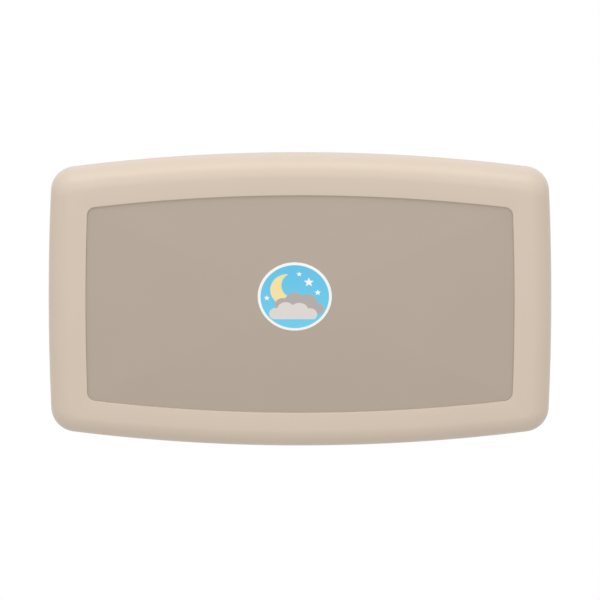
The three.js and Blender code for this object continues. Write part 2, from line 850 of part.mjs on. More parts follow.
// Damper pieces, drawn along Y from their own pivots
function damperTubeGeometry() {
  const boreStart = damperEyeRadius + damperEndWall;
  const tube = turned([
    [0, -boreStart],
    [damperBoreRadius, -boreStart],
    [damperBoreRadius, -damperTubeEnd],
    [damperTubeRadius, -damperTubeEnd],
    [damperTubeRadius, -damperEyeRadius / 2],
    [0, -damperEyeRadius / 2],
  ], roundFacets);
  const eye = rodX(damperEyeRadius, -damperEyeHalf, damperEyeHalf, 0, 0);
  const bore = rodX(damperPinRadius + runningGap, -damperX, damperX, 0, 0);
  return cut(join(tube, eye), bore);
}

function damperGlandGeometry() {
  const bore = damperRodRadius + runningGap;
  const start = -damperTubeEnd - seatGap;
  return turned([
    [bore, start],
    [damperTubeRadius, start],
    [damperTubeRadius, -damperGlandEnd],
    [bore, -damperGlandEnd],
    [bore, start],
  ], roundFacets);
}

function damperRodGeometry() {
  const pistonStart = damperRodLength - damperPistonLength;
  const rod = turned([
    [0, damperPinRadius],
    [damperRodRadius, damperPinRadius],
    [damperRodRadius, pistonStart],
    [damperBoreRadius - runningGap, pistonStart],
    [damperBoreRadius - runningGap, damperRodLength],
    [0, damperRodLength],
  ], roundFacets);
  const eye = rodX(damperRodEyeRadius, -damperRodEyeWidth / 2, damperRodEyeWidth / 2, 0, 0);
  const bore = rodX(damperPinRadius + runningGap, -damperX, damperX, 0, 0);
  return cut(join(rod, eye), bore);
}

// Fork bracket about a pivot, from a foot plate on the plane y = seat, with its two cheeks outside the eye
function forkGeometry(pivot, eyeHalf, eyeRadius, seat, footZ0, footZ1) {
  const towards = Math.sign(pivot.y - seat);
  const inner = eyeHalf + runningGap;
  const outer = inner + damperBracketPlate;
  const footFace = seat + towards * damperFootPlate;
  const foot = box(pivot.x - outer, pivot.x + outer, seat, footFace, footZ0, footZ1);
  const cheeks = [-1, 1].flatMap((side) => {
    const x0 = pivot.x + side * inner;
    const x1 = pivot.x + side * outer;
    const webBottom = Math.max(footZ0, pivot.z - eyeRadius);
    const webTop = Math.min(footZ1, pivot.z + eyeRadius);
    const web = box(x0, x1, seat, pivot.y, webBottom, webTop);
    return [web, rodX(eyeRadius, x0, x1, pivot.y, pivot.z)];
  });
  const bore = rodX(damperPinRadius + seatGap, pivot.x - 2 * outer, pivot.x + 2 * outer, pivot.y, pivot.z);
  return cut(join(foot, ...cheeks), bore);
}

function forkPinGeometry(eyeHalf) {
  const half = eyeHalf + runningGap + damperBracketPlate;
  return rodX(damperPinRadius, -half, half, 0, 0);
}

// Strap and buckle, laid on the basin's floor along z
const onFloor = (height) => basinFloorY + height;
const strapUnder = seatGap;
const buckleTop = buckleZ + buckleLength / 2;
const buckleBottom = buckleZ - buckleLength / 2;
const bucklePinZ = buckleZ + bucklePinOffset;
const strapOverPlate = strapUnder + bucklePlate + seatGap;

function anchorGeometry(side) {
  const inner = side * (anchorZ - anchorHeight / 2);
  const outer = side * (anchorZ + anchorHeight / 2);
  const half = anchorWidth / 2;
  const plate = box(-half, half, onFloor(0), onFloor(anchorThickness), inner, outer);
  const slotHalf = strapWidth / 2 + runningGap;
  const slotStart = inner + side * anchorBar;
  const slot = box(
    -slotHalf,
    slotHalf,
    onFloor(-cutOvershoot),
    onFloor(cutOvershoot),
    slotStart,
    slotStart + side * anchorSlotHeight,
  );
  return cut(plate, slot);
}

function strapShortGeometry() {
  const start = buckleTop + seatGap;
  const end = anchorZ - anchorHeight / 2 - seatGap;
  const half = strapWidth / 2;
  return box(-half, half, onFloor(strapUnder), onFloor(strapUnder + strapThickness), start, end);
}

// The long strap rises over the buckle's plate, runs under the cam and ends in a tail over the short strap
function strapLongGeometry() {
  const path = [
    [strapUnder, -anchorZ + anchorHeight / 2 + seatGap],
    [strapUnder, buckleBottom - strapClimbStart],
    [strapOverPlate, buckleBottom - strapClimbEnd],
    [strapOverPlate, buckleTop + strapTail],
  ];
  const outline = new THREE.Shape();
  path.forEach(([height, z], i) => {
    if (i === 0) {
      outline.moveTo(onFloor(height), z);
    } else {
      outline.lineTo(onFloor(height), z);
    }
  });
  path.reverse().forEach(([height, z]) => outline.lineTo(onFloor(height + strapThickness), z));
  outline.closePath();
  return barX(outline, -strapWidth / 2, strapWidth / 2);
}

function buckleFrameGeometry() {
  const half = buckleWidth / 2;
  const under = onFloor(strapUnder);
  const plate = box(-half, half, under, onFloor(strapUnder + bucklePlate), buckleBottom, buckleTop);
  const cheeks = [-1, 1].map((side) => {
    const inner = side * (half - buckleCheek);
    return box(side * half, inner, under, onFloor(buckleCheekHeight), buckleBottom, buckleTop);
  });
  const bore = rodX(bucklePinRadius + seatGap, -buckleWidth, buckleWidth, onFloor(bucklePinRise), bucklePinZ);
  return cut(join(plate, ...cheeks), bore);
}

function buckleLeverGeometry() {
  const half = buckleWidth / 2 - buckleCheek - runningGap;
  const camRadius = bucklePinRise - strapOverPlate - strapThickness - runningGap;
  const cam = rodX(camRadius, -half, half, 0, 0);
  const arm = box(-half, half, camRadius - leverThickness, camRadius, -leverLength, 0);
  const bore = rodX(bucklePinRadius + runningGap, -buckleWidth, buckleWidth, 0, 0);
  return cut(join(cam, arm), bore);
}

// Chassis pieces
addPiece(chassis, 'chassis_shell', chassisShellGeometry(), beigePlastic);
addPiece(chassis, 'chassis_face', chassisFaceGeometry(), beigePlastic);
addPiece(chassis, 'mounting_plate_left', mountPlateGeometry(-boltSpacingX / 2), zincSteel);
addPiece(chassis, 'mounting_plate_right', mountPlateGeometry(boltSpacingX / 2), zincSteel);
boltPlaces.forEach(({ x, y }, i) => {
  const place = new THREE.Vector3(x, faceFrontY, y);
  addPiece(chassis, `bolt_cap_${i + 1}`, boltCapGeometry(), taupePlastic, place);
});
faceScrewPlaces.forEach(({ x, y }, i) => {
  addPiece(chassis, `face_screw_${i + 1}`, screwGeometry(1), steel, new THREE.Vector3(x, faceFrontY, y));
});
bumperPlaces.forEach(({ x, y }, i) => {
  addPiece(chassis, `bumper_${i + 1}`, bumperGeometry(), rubber, new THREE.Vector3(x, faceFrontY, y));
});
addPiece(chassis, 'liner_pocket', linerPocketGeometry(), taupePlastic);
addPiece(chassis, 'liner_rail_left', linerRailGeometry(-1), taupePlastic);
addPiece(chassis, 'liner_rail_right', linerRailGeometry(1), taupePlastic);
addPiece(chassis, 'liner_door', linerDoorGeometry(), taupePlastic);
[['left', -hookX], ['right', hookX]].forEach(([side, x]) => {
  const place = new THREE.Vector3(x, faceFrontY, hookZ);
  addPiece(chassis, `bag_hook_${side}`, bagHookGeometry(), taupePlastic, place);
});

// Hinge pieces
const hingeRodHalf = hingeHalf + hingeRodOverhang;
addPiece(chassis, 'hinge_fixed_leaf', hingeLeafGeometry(1), steel, hingeAxis);
addPiece(chassis, 'hinge_rod', rodX(hingeRodRadius, -hingeRodHalf, hingeRodHalf, 0, 0), steel, hingeAxis);
addPiece(bed, 'hinge_bed_leaf', hingeLeafGeometry(-1), steel, hingeAxis);
leafScrewXs.forEach((x, i) => {
  const place = hingeAxis.clone().setX(x);
  addPiece(chassis, `hinge_fixed_screw_${i + 1}`, leafScrewGeometry(1), steel, place);
  addPiece(bed, `hinge_bed_screw_${i + 1}`, leafScrewGeometry(-1), steel, place);
});

// Bed pieces
addPiece(bed, 'bed_outer_shell', bedShellGeometry(), beigePlastic);
addPiece(bed, 'bed_inner_tray', bedTrayGeometry(), beigePlastic);
addPiece(bed, 'front_panel', frontPanelGeometry(), taupePlastic);
addPiece(bed, 'front_label', labelGeometry(), labelFilm);
trayScrewPlaces.forEach(({ x, y }, i) => {
  addPiece(bed, `tray_screw_${i + 1}`, screwGeometry(-1), steel, new THREE.Vector3(x, trayRimY, y));
});

// Strap and buckle pieces
addPiece(bed, 'strap_anchor_upper', anchorGeometry(1), zincSteel);
addPiece(bed, 'strap_anchor_lower', anchorGeometry(-1), zincSteel);
addPiece(bed, 'strap_short', strapShortGeometry(), webbing);
addPiece(bed, 'strap_long', strapLongGeometry(), webbing);
const bucklePivot = new THREE.Vector3(0, onFloor(bucklePinRise), bucklePinZ);
addPiece(bed, 'buckle_frame', buckleFrameGeometry(), darkPlastic);
const bucklePin = rodX(bucklePinRadius, -buckleWidth / 2, buckleWidth / 2, 0, 0);
addPiece(bed, 'buckle_pin', bucklePin, steel, bucklePivot);
addPiece(bed, 'buckle_lever', buckleLeverGeometry(), darkPlastic, bucklePivot);

// Damper pieces: the tube's group turns about the chassis pivot and the rod's about the bed pivot
const damperRodHalf = damperRodEyeWidth / 2;
const chassisForkFoot = [damperChassisPivot.z - damperEyeRadius, damperChassisPivot.z + 2 * damperEyeRadius];
const bedFootStart = -topEdgeZ(damperX, frontFillet) - damperFootRunout;
const bedForkFoot = [bedFootStart, bedFootStart + damperBedFootLength];
addPiece(
  chassis,
  'damper_chassis_bracket',
  forkGeometry(damperChassisPivot, damperTubeRadius, damperEyeRadius, -chassisWall, ...chassisForkFoot),
  zincSteel,
);
addPiece(chassis, 'damper_chassis_pin', forkPinGeometry(damperTubeRadius), steel, damperChassisPivot);
addPiece(
  bed,
  'damper_bed_bracket',
  forkGeometry(damperBedPivot, damperRodHalf, damperRodEyeRadius, innerFrontY + forkSeatGap, ...bedForkFoot),
  zincSteel,
);
addPiece(bed, 'damper_bed_pin', forkPinGeometry(damperRodHalf), steel, damperBedPivot);

const tubeGroup = new THREE.Group();
tubeGroup.position.copy(damperChassisPivot);
tubeGroup.rotation.x = damperTilt;
addPiece(tubeGroup, 'damper_tube', damperTubeGeometry(), darkPlastic);
addPiece(tubeGroup, 'damper_gland', damperGlandGeometry(), steel);
const rodGroup = new THREE.Group();
rodGroup.position.copy(damperBedPivot);
rodGroup.rotation.x = damperTilt;
addPiece(rodGroup, 'damper_rod', damperRodGeometry(), steel);
station.add(tubeGroup, rodGroup);

export default station;
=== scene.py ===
"""Looks of a wall-mounted baby changing station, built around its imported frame.

Metres, +Z up, +X to the right of someone facing it, +Y into the wall. Each new piece is a surface worked out
on a grid of two parameters: rows of a profile, and points round an outline.
"""

import json
import math

import bmesh
import bpy
import numpy as np
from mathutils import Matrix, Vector


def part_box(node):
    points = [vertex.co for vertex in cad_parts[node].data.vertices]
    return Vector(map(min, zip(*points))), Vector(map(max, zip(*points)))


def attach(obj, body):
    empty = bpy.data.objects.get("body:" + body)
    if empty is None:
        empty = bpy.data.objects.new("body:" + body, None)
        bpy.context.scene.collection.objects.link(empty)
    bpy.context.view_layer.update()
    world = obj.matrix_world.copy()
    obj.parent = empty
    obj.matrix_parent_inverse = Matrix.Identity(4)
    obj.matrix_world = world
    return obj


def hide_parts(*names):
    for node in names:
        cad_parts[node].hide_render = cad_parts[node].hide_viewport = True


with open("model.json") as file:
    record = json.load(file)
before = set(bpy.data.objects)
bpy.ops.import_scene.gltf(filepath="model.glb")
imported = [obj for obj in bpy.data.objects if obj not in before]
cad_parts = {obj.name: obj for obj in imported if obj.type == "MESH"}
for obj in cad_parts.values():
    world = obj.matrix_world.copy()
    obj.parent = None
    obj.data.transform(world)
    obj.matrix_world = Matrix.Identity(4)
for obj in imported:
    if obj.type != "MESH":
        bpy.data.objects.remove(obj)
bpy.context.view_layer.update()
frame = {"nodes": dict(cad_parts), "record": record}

MM = 0.001
QUARTER = math.pi / 2


def corners(node):
    """Lowest and highest corner of a node as arrays."""
    low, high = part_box(node)
    return np.array(low), np.array(high)


# Planes and widths taken from the frame
shell_low, shell_high = corners("bed_outer_shell")
tray_high = corners("bed_inner_tray")[1]
panel_low, panel_high = corners("front_panel")
label_low, label_high = corners("front_label")
chassis_low = corners("chassis_shell")[0]
face_low, face_high = corners("chassis_face")
hinge_low, hinge_high = corners("hinge_rod")
BED_WIDTH = shell_high[0] - shell_low[0]
BED_HEIGHT = shell_high[2] - shell_low[2]
FRONT_Y = shell_low[1]
BED_REAR_Y = shell_high[1]
TRAY_RIM_Y = tray_high[1]
RECESS_FLOOR_Y = panel_high[1]
PANEL_FRONT_Y = panel_low[1]
CHASSIS_FRONT_Y = chassis_low[1]
CHASSIS_BOTTOM_Z = chassis_low[2]
HINGE_Z = (hinge_low[2] + hinge_high[2]) / 2

# Bow and corners of the outline
TOP_BOW = 31.5 * MM
SIDE_BOW = 7.7 * MM
CORNER = 45 * MM
LEAST_CORNER = 1.75 * MM

# Bed shell
SHELL_WALL = 3.5 * MM
FRONT_FILLET = 35 * MM
REAR_ROUND = 1.2 * MM
PANEL_INSET = 66 * MM
PANEL_CORNER = 15 * MM
RECESS_LIP = 1.0 * MM
RECESS_DRAFT = 0.5 * MM
PANEL_GAP = 0.06 * MM
PANEL_ROUND = 0.3 * MM

# Bed tray
TRAY_THICKNESS = 3 * MM
TRAY_GAP = 0.3 * MM
BASIN_DEPTH = 35 * MM
BASIN_INSET = 44 * MM
BASIN_CORNER = 66 * MM
BASIN_RIM_ROUND = 4 * MM
BASIN_DRAFT = 6 * MM
BASIN_FILLET = 22 * MM
BASIN_FLOOR_Y = TRAY_RIM_Y - BASIN_DEPTH

# Chassis
CHASSIS_INSET = 8 * MM
CHASSIS_WALL = 3.5 * MM
CHASSIS_ROUND = 1.2 * MM
FACE_GAP = 0.4 * MM
FACE_ROUND = 0.7 * MM

# Cut-outs
OVERSHOOT = 6 * MM
DAMPER_SLOT_LOW = 380 * MM
DAMPER_SLOT_HIGH = 404 * MM
SHELL_NOTCH_FRONT = -56.5 * MM
TRAY_SLOT_TOP = HINGE_Z + 57 * MM
FACE_SLOT_TOP = HINGE_Z + 74.5 * MM
HINGE_CUT_HALF = 335 * MM
HINGE_CUT_TOP = HINGE_Z + 10 * MM
BOLT_X = 203 * MM
BOLT_Z = 100 * MM
BOLT_PLACES = [(x, z) for x in (-BOLT_X, BOLT_X) for z in (-BOLT_Z, BOLT_Z)]
BOLT_HOLE = 4.5 * MM
BOLT_ACCESS = 11 * MM
BIN_WALL = 2.5 * MM
BIN_FLANGE = 8 * MM

# Points round the outline, along a round edge and round a hole
SIDE_STEPS = 36
CORNER_STEPS = 20
TOP_STEPS = 72
FILLET_STEPS = 22
EDGE_STEPS = 6
HOLE_FACETS = 32

# Angles, in degrees, past which an edge is kept hard
HARD_EDGE = 32
HARD_WEBBING_EDGE = 60


def bow_radius(chord, rise):
    """Radius of the circle whose arc rises by rise over a chord."""
    return (chord * chord / 4 + rise * rise) / (2 * rise)


TOP_RADIUS = bow_radius(BED_WIDTH, TOP_BOW)
SIDE_RADIUS = bow_radius(BED_HEIGHT, SIDE_BOW)
TOP_CENTRE_Z = BED_HEIGHT / 2 - TOP_RADIUS
SIDE_CENTRE_X = BED_WIDTH / 2 - SIDE_RADIUS


def arc_rows(centre_x, centre_z, radius, start, end, steps):
    """Rows of points on circles: in each row the angle runs evenly from start up to, but not onto, end."""
    share = np.arange(steps) / steps
    angle = start[:, None] + (end - start)[:, None] * share
    x = centre_x[:, None] + radius[:, None] * np.cos(angle)
    z = centre_z[:, None] + radius[:, None] * np.sin(angle)
    return np.stack([x, z], axis=-1)


def bowed_rings(inset, corner):
    """One outline a row, moved in by inset: four wide arcs about fixed centres and tangent corner arcs.

    A corner arc's centre is where the circles of the top and side arcs, each smaller by the corner's radius,
    meet at the upper right. The other three corners mirror it.
    """
    inset = np.asarray(inset, float)
    corner = np.maximum(np.asarray(corner, float), LEAST_CORNER)
    top = TOP_RADIUS - inset
    side = SIDE_RADIUS - inset
    distance = math.hypot(SIDE_CENTRE_X, TOP_CENTRE_Z)
    unit_x = SIDE_CENTRE_X / distance
    unit_z = -TOP_CENTRE_Z / distance
    along = ((top - corner) ** 2 - (side - corner) ** 2 + distance ** 2) / (2 * distance)
    across = np.sqrt((top - corner) ** 2 - along ** 2)
    x = along * unit_x + across * unit_z
    z = TOP_CENTRE_Z + along * unit_z - across * unit_x
    top_angle = np.arctan2(z - TOP_CENTRE_Z, x)
    side_angle = np.arctan2(z, x - SIDE_CENTRE_X)
    zero = np.zeros_like(inset)
    side_x = zero + SIDE_CENTRE_X
    top_z = zero + TOP_CENTRE_Z
    half_turn = math.pi
    return np.concatenate([
        arc_rows(side_x, zero, side, -side_angle, side_angle, SIDE_STEPS),
        arc_rows(x, z, corner, side_angle, top_angle, CORNER_STEPS),
        arc_rows(zero, top_z, top, top_angle, half_turn - top_angle, TOP_STEPS),
        arc_rows(-x, z, corner, half_turn - top_angle, half_turn - side_angle, CORNER_STEPS),
        arc_rows(-side_x, zero, side, half_turn - side_angle, half_turn + side_angle, SIDE_STEPS),
        arc_rows(-x, -z, corner, half_turn + side_angle, half_turn + top_angle, CORNER_STEPS),
        arc_rows(zero, -top_z, top, half_turn + top_angle, 2 * half_turn - top_angle, TOP_STEPS),
        arc_rows(x, -z, corner, 2 * half_turn - top_angle, 2 * half_turn - side_angle, CORNER_STEPS),
    ], axis=1)


def quarter_round(inset, y, inset_radius, y_radius, start, end, steps):
    """Profile rows on a quarter ellipse about (inset, y): cosine across, sine along y, from start to end."""
    angle = np.linspace(start, end, steps + 1)
    return np.stack([inset + inset_radius * np.cos(angle), y + y_radius * np.sin(angle)], axis=1)


def front_edge(inset, y, radius):
    """Profile rows of a round front edge, from the side at an inset to the front face at y."""
    return quarter_round(inset + radius, y + radius, -radius, -radius, 0, QUARTER, EDGE_STEPS)


def surface_mesh(name, points, quads, triangles):
    """Mesh object of points, quads and triangles, with its faces turned outward by signed volume."""
    split = np.concatenate([
        quads[:, [0, 1, 2]],
        quads[:, [0, 2, 3]],
        triangles,
    ])
    a, b, c = (points[split[:, k]] for k in range(3))
    if np.einsum("ij,ij->i", a, np.cross(b, c)).sum() < 0:
        quads = quads[:, ::-1]
        triangles = triangles[:, ::-1]
    mesh = bpy.data.meshes.new(name)
    mesh.from_pydata(points.tolist(), [], quads.tolist() + triangles.tolist())
    piece = bpy.data.objects.new(name, mesh)
    bpy.context.scene.collection.objects.link(piece)
    return piece


def closed_rows(name, rows):
    """Closed surface through rows of points round a ring, with a fan about the mean of each end row."""
    count, around = rows.shape[:2]
    grid = np.arange(count * around).reshape(count, around)
    ahead = np.roll(grid, -1, axis=1)
    quads = np.stack([grid[:-1], ahead[:-1], ahead[1:], grid[1:]], axis=-1).reshape(-1, 4)
    hubs = np.stack([rows[0].mean(axis=0), rows[-1].mean(axis=0)])
    first = np.full(around, count * around)
    last = first + 1
    triangles = np.concatenate([
        np.stack([first, ahead[0], grid[0]], axis=1),
        np.stack([last, grid[-1], ahead[-1]], axis=1),
    ])
    points = np.concatenate([rows.reshape(-1, 3), hubs])
    return surface_mesh(name, points, quads, triangles)


def ring_rows(rings, y):
    """Rows of points (x, y, z) from rings of (x, z) and one y a row."""
    depth = np.broadcast_to(np.asarray(y)[:, None, None], rings.shape[:2] + (1,))
    return np.concatenate([rings[..., :1], depth, rings[..., 1:]], axis=-1)


def smooth_by_angle(piece, degrees=HARD_EDGE):
    """Smooth shading, with edges sharper than an angle kept hard."""
    piece.data.shade_smooth()
    piece.data.set_sharp_from_angle(angle=math.radians(degrees))


def box_block(low, high):
    """Eight corners and six quads of a box, for a cutter."""
    pick = np.array([[i >> 2 & 1, i >> 1 & 1, i & 1] for i in range(8)])
    points = np.where(pick == 1, high, low)
    quads = np.array([[0, 1, 3, 2], [4, 6, 7, 5], [0, 4, 5, 1], [2, 3, 7, 6], [0, 2, 6, 4], [1, 5, 7, 3]])
    return points, quads


def cut_boxes(piece, boxes):
    """Cut boxes, each a pair of corners, out of a closed piece."""
    blocks = [box_block(np.array(low), np.array(high)) for low, high in boxes]
    points = np.concatenate([block[0] for block in blocks])
    quads = np.concatenate([block[1] + len(block[0]) * i for i, block in enumerate(blocks)])
    cut_solid(piece, surface_mesh("box_cutter", points, quads, np.zeros((0, 3), int)))


def cut_holes(piece, places, radius, y_low, y_high):
    """Drill round holes along Y at (x, z) places through a closed piece."""
    angle = np.arange(HOLE_FACETS) * 2 * math.pi / HOLE_FACETS
    circle = np.stack([np.cos(angle), np.sin(angle)], axis=1) * radius
    for x, z in places:
        rings = np.repeat((circle + (x, z))[None], 2, axis=0)
        cut_solid(piece, closed_rows("hole_cutter", ring_rows(rings, [y_low, y_high])))


def cut_solid(piece, cutter):
    """Take a closed cutter's space out of a closed piece, and remove the cutter."""
    modifier = piece.modifiers.new("cut", "BOOLEAN")
    modifier.operation = "DIFFERENCE"
    modifier.solver = "EXACT"
    modifier.object = cutter
    graph = bpy.context.evaluated_depsgraph_get()
    mesh = bpy.data.meshes.new_from_object(piece.evaluated_get(graph))
    piece.modifiers.clear()
    piece.data = mesh
    bpy.data.objects.remove(cutter)


# Materials
def srgb(red, green, blue):
    """Linear colour from sRGB levels of 0 to 255."""
    level = np.array([red, green, blue]) / 255
    linear = np.where(level <= 0.04045, level / 12.92, ((level + 0.055) / 1.055) ** 2.4)
    return (*linear.tolist(), 1.0)


class Finish:
    """A Principled shader, with helpers that add grain, tone and bump from Object coordinates."""

    def __init__(self, name, color, roughness, metallic=0.0):
        self.material = bpy.data.materials.new(name)
        self.material.use_nodes = True
        self.nodes = self.material.node_tree.nodes
        self.links = self.material.node_tree.links
        self.shader = self.nodes["Principled BSDF"]
        self.shader.inputs["Base Color"].default_value = color
        self.shader.inputs["Roughness"].default_value = roughness
        self.shader.inputs["Metallic"].default_value = metallic
        self.color = color
        self.place = self.nodes.new("ShaderNodeTexCoord").outputs["Object"]
        self.normal = None

    def noise(self, scale, detail=3.0, stretch=(1, 1, 1)):
        """Noise over Object coordinates, squeezed by stretch."""
        mapping = self.nodes.new("ShaderNodeMapping")
        mapping.inputs["Scale"].default_value = stretch
        self.links.new(self.place, mapping.inputs["Vector"])
        noise = self.nodes.new("ShaderNodeTexNoise")
        noise.inputs["Scale"].default_value = scale
        noise.inputs["Detail"].default_value = detail
        self.links.new(mapping.outputs["Vector"], noise.inputs["Vector"])
        return noise.outputs["Fac"]

    def pebbles(self, scale):
        """Distance to the nearest cell point, for a pebbled grain."""
        cells = self.nodes.new("ShaderNodeTexVoronoi")
        cells.feature = "SMOOTH_F1"
        cells.inputs["Scale"].default_value = scale
        cells.inputs["Smoothness"].default_value = 0.6
        self.links.new(self.place, cells.inputs["Vector"])
        return cells.outputs["Distance"]

    def ribs(self, scale, direction):
        """Sine ribs along one axis of the Object coordinates."""
        wave = self.nodes.new("ShaderNodeTexWave")
        wave.bands_direction = direction
        wave.inputs["Scale"].default_value = scale
        self.links.new(self.place, wave.inputs["Vector"])
        return wave.outputs["Fac"]

    def spread(self, value, low, high, socket):
        """Send a 0 to 1 value to a socket of the shader as low to high."""
        level = self.nodes.new("ShaderNodeMapRange")
        level.inputs["To Min"].default_value = low
        level.inputs["To Max"].default_value = high
        self.links.new(value, level.inputs["Value"])
        self.links.new(level.outputs["Result"], self.shader.inputs[socket])

    def tone(self, value, dark, light):
        """Base colour between the finish's colour times dark and times light."""
        mix = self.nodes.new("ShaderNodeMix")
        mix.data_type = "RGBA"
        mix.inputs["A"].default_value = (*(c * dark for c in self.color[:3]), 1.0)
        mix.inputs["B"].default_value = (*(c * light for c in self.color[:3]), 1.0)
        self.links.new(value, mix.inputs["Factor"])
        self.links.new(mix.outputs["Result"], self.shader.inputs["Base Color"])

    def bump(self, value, strength, depth):
        """Add a bump, on top of those added before."""
        bump = self.nodes.new("ShaderNodeBump")
        bump.inputs["Strength"].default_value = strength
        bump.inputs["Distance"].default_value = depth
        self.links.new(value, bump.inputs["Height"])
        if self.normal is not None:
            self.links.new(self.normal, bump.inputs["Normal"])
        self.normal = bump.outputs["Normal"]
        self.links.new(self.normal, self.shader.inputs["Normal"])


def moulded_plastic(name, color, roughness, grain_scale, grain_depth):
    """Moulded plastic: a broad drift of tone, a fine pebbled grain and a slightly uneven gloss."""
    finish = Finish(name, color, roughness)
    finish.tone(finish.noise(scale=6.0), dark=0.975, light=1.025)
    gloss = finish.noise(scale=180.0)
    finish.spread(gloss, low=roughness - 0.06, high=roughness + 0.06, socket="Roughness")
    finish.bump(finish.pebbles(grain_scale), strength=0.35, depth=grain_depth)
    finish.bump(finish.noise(scale=14.0, detail=2.0), strength=0.25, depth=0.4 * MM)
    return finish.material


def brushed_metal(name, color, roughness):
    """Metal drawn along X: long streaks in its gloss and a faint bump along them."""
    finish = Finish(name, color, roughness, metallic=1.0)
    streaks = finish.noise(scale=900.0, detail=4.0, stretch=(0.02, 1, 1))
    finish.spread(streaks, low=roughness - 0.1, high=roughness + 0.12, socket="Roughness")
    finish.tone(finish.noise(scale=40.0), dark=0.92, light=1.05)
    finish.bump(streaks, strength=0.15, depth=0.05 * MM)
    return finish.material


def rubber_finish(name, color):
    """Rubber: dull, with a dusty tone and a fine grain."""
    finish = Finish(name, color, roughness=0.8)
    finish.tone(finish.noise(scale=120.0), dark=0.8, light=1.3)
    finish.bump(finish.noise(scale=700.0), strength=0.3, depth=0.1 * MM)
    return finish.material


def woven_webbing(name, color):
    """Webbing: warp ribs across X and weft ribs along Z, in both tone and bump."""
    finish = Finish(name, color, roughness=0.85)
    warp = finish.ribs(scale=190.0, direction="X")
    weft = finish.ribs(scale=120.0, direction="Z")
    finish.tone(warp, dark=0.7, light=1.5)
    finish.bump(warp, strength=0.7, depth=0.35 * MM)
    finish.bump(weft, strength=0.6, depth=0.3 * MM)
    finish.shader.inputs["Sheen Weight"].default_value = 0.25
    return finish.material


def printed_film(name):
    """Printed film: the print's colours from the piece's own attribute, under a clear satin coat."""
    finish = Finish(name, (1, 1, 1, 1), roughness=0.35)
    print_color = finish.nodes.new("ShaderNodeAttribute")
    print_color.attribute_name = "print"
    finish.links.new(print_color.outputs["Color"], finish.shader.inputs["Base Color"])
    finish.spread(finish.noise(scale=300.0), low=0.3, high=0.4, socket="Roughness")
    finish.shader.inputs["Coat Weight"].default_value = 0.3
    finish.shader.inputs["Coat Roughness"].default_value = 0.2
    return finish.material


# Colour, roughness, grain scale and grain depth of each moulded plastic
PLASTICS = {
    "beige_plastic": (srgb(212, 195, 177), 0.36, 900.0, 0.1 * MM),
    "taupe_plastic": (srgb(181, 167, 152), 0.58, 620.0, 0.2 * MM),
    "dark_plastic": (srgb(58, 60, 62), 0.45, 800.0, 0.12 * MM),
}
# Colour and roughness of each metal
METALS = {
    "zinc_steel": (srgb(196, 198, 202), 0.38),
    "steel": (srgb(170, 173, 177), 0.3),
}
finishes = {
    **{name: moulded_plastic(name, *look) for name, look in PLASTICS.items()},
    **{name: brushed_metal(name, *look) for name, look in METALS.items()},
    "label_film": printed_film("label_film"),
    "rubber": rubber_finish("rubber", srgb(40, 40, 41)),
    "webbing": woven_webbing("webbing", srgb(50, 54, 60)),
}


# Placing of finished pieces
record = frame["record"]
slot_of = {part["node"]: part["material_slot"] for part in record["subparts"]}
body_of = {node: body for body, nodes in record["behaviour"]["bodies"].items() for node in nodes}


def dress(piece, node):
    """Give a finished piece its node's finish and body, and let it stand for the node."""
    piece.data.materials.clear()
    piece.data.materials.append(finishes[slot_of[node]])
    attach(piece, body_of[node])
    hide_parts(node)


# Bed
def bed_shell():
    """Bed shell: the inner skin from the recess's back out to the rear edge, then the outer skin back again.

    Each row is the outline at one inset and depth. The front edge is a quarter circle in inset and depth.
    """
    inner_radius = FRONT_FILLET - SHELL_WALL
    fillet_y = FRONT_Y + FRONT_FILLET
    back_inset = PANEL_INSET - SHELL_WALL
    inner = quarter_round(FRONT_FILLET, fillet_y, -inner_radius, -inner_radius, QUARTER, 0, FILLET_STEPS)
    outer = quarter_round(FRONT_FILLET, fillet_y, -FRONT_FILLET, -FRONT_FILLET, 0, QUARTER, FILLET_STEPS)
    rear = quarter_round(REAR_ROUND, BED_REAR_Y - REAR_ROUND, -REAR_ROUND, REAR_ROUND, QUARTER, 0, EDGE_STEPS)
    lip_inset = PANEL_INSET - RECESS_LIP
    lip = quarter_round(lip_inset, FRONT_Y + RECESS_LIP, RECESS_LIP, -RECESS_LIP, QUARTER, 0, EDGE_STEPS)
    profile = np.concatenate([
        [[back_inset, RECESS_FLOOR_Y + SHELL_WALL], [back_inset, FRONT_Y + SHELL_WALL]],
        inner,
        [[SHELL_WALL, BED_REAR_Y]],
        rear,
        outer,
        lip,
        [[PANEL_INSET + RECESS_DRAFT, RECESS_FLOOR_Y]],
    ])
    inset, y = profile.T
    shared = CORNER - inset
    recess = PANEL_CORNER + PANEL_INSET - inset
    corner = np.where(inset > (FRONT_FILLET + lip_inset) / 2, recess, shared)
    piece = closed_rows("bed_shell_skin", ring_rows(bowed_rings(inset, corner), y))
    notch_low = (DAMPER_SLOT_LOW, SHELL_NOTCH_FRONT, -BED_HEIGHT)
    cut_boxes(piece, [(notch_low, (DAMPER_SLOT_HIGH, BED_REAR_Y + OVERSHOOT, TRAY_SLOT_TOP))])
    smooth_by_angle(piece)
    dress(piece, "bed_outer_shell")


